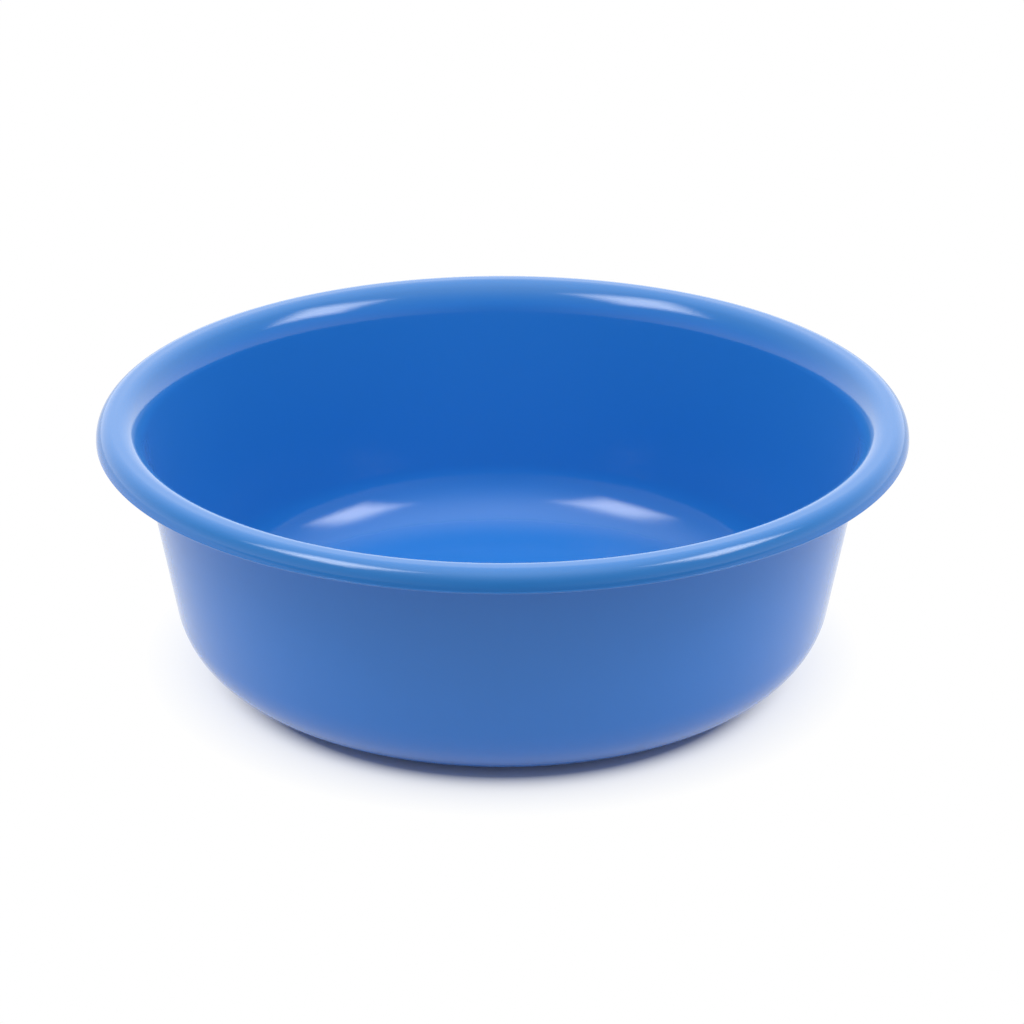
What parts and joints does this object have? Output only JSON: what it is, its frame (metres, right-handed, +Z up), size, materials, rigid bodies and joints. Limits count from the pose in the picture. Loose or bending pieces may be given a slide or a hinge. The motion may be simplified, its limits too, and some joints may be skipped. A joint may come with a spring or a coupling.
{
  "type": "plastic basin",
  "caption": "Round open washing basin in gloss plastic, with a wide rolled rim to lift it by, a tapered bowl and a foot ring.",
  "frame": {"origin": "on the basin's axis, on the plane that its foot ring stands on", "axes": "+Z up along the basin's axis of symmetry; +X and +Y are any two square directions, because the basin is round"},
  "size_m": [0.36, 0.36, 0.118],
  "materials": {
    "blue_plastic": "smooth moulded gloss, blue"
  },
  "bodies": {
    "root": {"basin_shell": "blue_plastic"}
  },
  "joints": []
}
